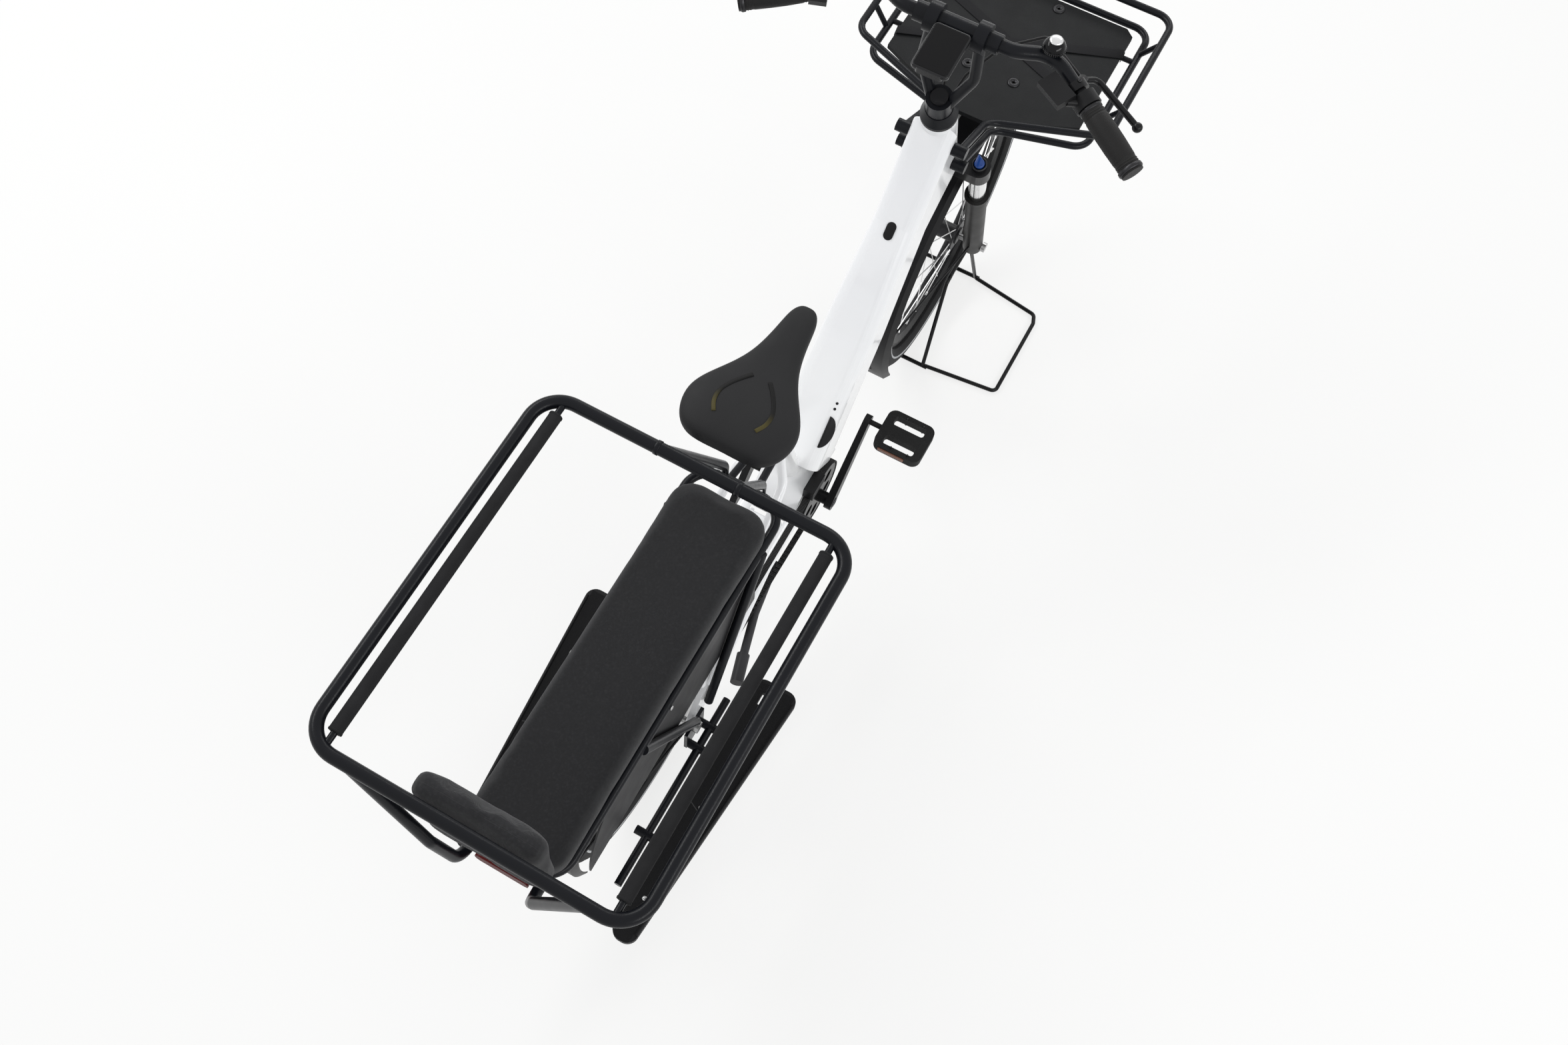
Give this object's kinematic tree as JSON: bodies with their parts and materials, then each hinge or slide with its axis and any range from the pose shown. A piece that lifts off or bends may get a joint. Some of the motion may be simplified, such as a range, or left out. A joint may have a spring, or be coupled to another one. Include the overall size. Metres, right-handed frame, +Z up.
{
  "type": "electric_cargo_bike",
  "caption": "Longtail electric cargo bike with white frame, belt drive, railed rear seat, running boards, low front rack and a black wire stand at its front wheel",
  "frame": {"origin": "middle of the bike's length and width, on the floor that the wheels stand on", "axes": "+X forward along the bike, +Y to the rider's left, +Z up"},
  "size_m": [1.9529, 0.6772, 1.1516],
  "materials": {
    "frame_paint": "gloss",
    "motor_shell": "satin",
    "black_satin": "satin",
    "bright_alloy": "satin",
    "saddle_cover": "matte",
    "tube_black": "satin",
    "pad_fabric": "matte",
    "foam": "matte",
    "grip_tape": "matte",
    "fender_plastic": "satin",
    "skirt_plastic": "satin",
    "deck_plastic": "matte",
    "lamp_body": "gloss",
    "tail_lens": "gloss",
    "belt_rubber": "matte",
    "brake_metal": "satin",
    "steel": "brushed",
    "fork_black": "gloss",
    "fork_grey": "satin",
    "grip_rubber": "matte",
    "lever_black": "satin",
    "bell_silver": "polished",
    "display_glass": "gloss",
    "stand_wire": "gloss",
    "cable_black": "satin",
    "tyre_rubber": "matte",
    "rim_black": "satin",
    "hub_alloy": "satin",
    "crank_dark": "satin",
    "pedal_plastic": "matte",
    "stand_grey": "satin"
  },
  "bodies": {
    "frame": {"frame_main": "frame_paint", "rear_stays": "frame_paint", "motor": "motor_shell", "battery": "black_satin", "headset": "black_satin", "seatpost": "bright_alloy", "saddle": "saddle_cover", "rear_rack": "tube_black", "seat_pad": "pad_fabric", "guard_rail": "tube_black", "rail_foam": "foam", "backrest": "pad_fabric", "running_boards": "grip_tape", "board_frame": "tube_black", "rear_fender": "fender_plastic", "wheel_skirts": "skirt_plastic", "front_rack": "tube_black", "front_deck": "deck_plastic", "headlamp": "lamp_body", "tail_lamp": "tail_lens", "ring_lock": "black_satin", "belt": "belt_rubber", "belt_guard": "black_satin", "rear_brake": "brake_metal", "rear_axle": "steel"},
    "steering": {"fork_crown": "fork_black", "fork_legs": "fork_grey", "front_axle": "steel", "stem": "tube_black", "handlebar": "tube_black", "grips": "grip_rubber", "brake_levers": "lever_black", "shifter": "black_satin", "remote": "black_satin", "bell": "bell_silver", "display": "display_glass", "front_fender": "fender_plastic", "front_brake": "brake_metal", "wire_stand": "stand_wire", "control_cables": "cable_black"},
    "front_wheel": {"front_tyre": "tyre_rubber", "front_rim": "rim_black", "front_hub": "hub_alloy"},
    "rear_wheel": {"rear_tyre": "tyre_rubber", "rear_rim": "rim_black", "rear_hub": "hub_alloy", "rear_sprocket": "steel"},
    "crank": {"crankset": "crank_dark", "front_sprocket": "crank_dark"},
    "pedal_left": {"pedal_left": "pedal_plastic"},
    "pedal_right": {"pedal_right": "pedal_plastic"},
    "kickstand": {"kickstand": "stand_grey"}
  },
  "joints": [
    {"name": "steering", "type": "hinge", "parent": "frame", "child": "steering", "pos_m": [0.64219, 0, 0.29842], "axis": [-0.342, 0, 0.9397], "range_deg": [-45, 45]},
    {"name": "front_wheel_spin", "type": "hinge", "parent": "steering", "child": "front_wheel", "pos_m": [0.6685, 0, 0.308], "axis": [0, 1, 0], "continuous": true},
    {"name": "rear_wheel_spin", "type": "hinge", "parent": "frame", "child": "rear_wheel", "pos_m": [-0.5015, 0, 0.308], "axis": [0, 1, 0], "continuous": true},
    {"name": "crank_spin", "type": "hinge", "parent": "frame", "child": "crank", "pos_m": [0.0085, 0, 0.3], "axis": [0, 1, 0], "continuous": true},
    {"name": "pedal_left_spin", "type": "hinge", "parent": "crank", "child": "pedal_left", "pos_m": [-0.11171, 0.098, 0.17979], "axis": [0, 1, 0], "continuous": true},
    {"name": "pedal_right_spin", "type": "hinge", "parent": "crank", "child": "pedal_right", "pos_m": [0.12871, -0.098, 0.42021], "axis": [0, 1, 0], "continuous": true},
    {"name": "kickstand_swing", "type": "hinge", "parent": "frame", "child": "kickstand", "pos_m": [-0.1315, 0, 0.222], "axis": [0, 1, 0], "range_deg": [-127, 0]}
  ]
}
